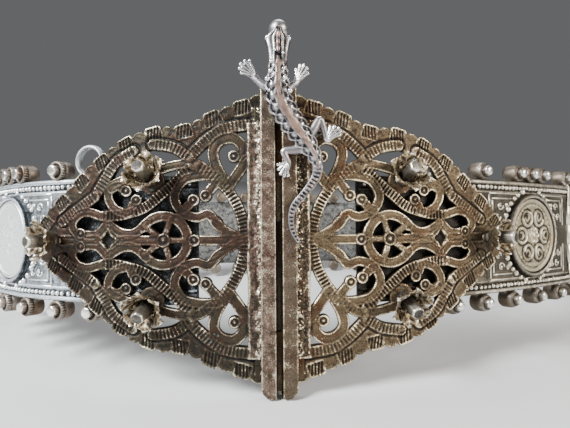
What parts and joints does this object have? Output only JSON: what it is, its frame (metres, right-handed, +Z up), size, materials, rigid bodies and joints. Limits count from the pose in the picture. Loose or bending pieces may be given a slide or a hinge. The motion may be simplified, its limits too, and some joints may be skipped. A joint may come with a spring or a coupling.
{
  "type": "silver belt",
  "caption": "Cast silver belt standing closed: two pierced buckle plates on a hinge pin with a lizard head, riveted flowers, and a hinged band of coin panels with studs.",
  "frame": {"origin": "middle of the footprint's bounding box, on the surface that the belt stands on", "axes": "+Z up, -Y the front where the buckle faces, +X to the right as seen from the front"},
  "size_m": [0.3072, 0.2011, 0.1242],
  "materials": {
    "cast_silver": "cast low-grade silver with brown tarnish in the recesses and worn bright edges",
    "lizard_silver": "bright cast silver with dark engraved recesses",
    "band_silver": "worn silver sheet and wire with grey tarnish round the beads",
    "coin_silver": "struck silver, rubbed smooth"
  },
  "bodies": {
    "root": {"buckle_left": "cast_silver", "buckle_right": "cast_silver", "flower_left_top": "cast_silver", "flower_left_bottom": "cast_silver", "flower_left_tip": "cast_silver", "flower_right_top": "cast_silver", "flower_right_bottom": "cast_silver", "flower_right_tip": "cast_silver", "lizard_pin": "lizard_silver", "band_end_left": "band_silver", "band_end_right": "band_silver", "ring": "band_silver", "band_panel_2": "band_silver", "band_panel_3": "band_silver", "band_panel_4": "band_silver", "band_panel_5": "band_silver", "band_panel_6": "band_silver", "band_panel_7": "band_silver", "band_panel_8": "band_silver", "band_pin_1": "band_silver", "band_pin_2": "band_silver", "band_pin_3": "band_silver", "band_pin_4": "band_silver", "band_pin_5": "band_silver", "band_pin_6": "band_silver", "band_pin_7": "band_silver", "band_pin_8": "band_silver", "coin_1": "coin_silver", "coin_2": "coin_silver", "coin_3": "coin_silver", "coin_4": "coin_silver", "coin_5": "coin_silver", "coin_6": "coin_silver", "coin_7": "coin_silver", "coin_8": "coin_silver", "coin_9": "coin_silver"}
  },
  "joints": []
}
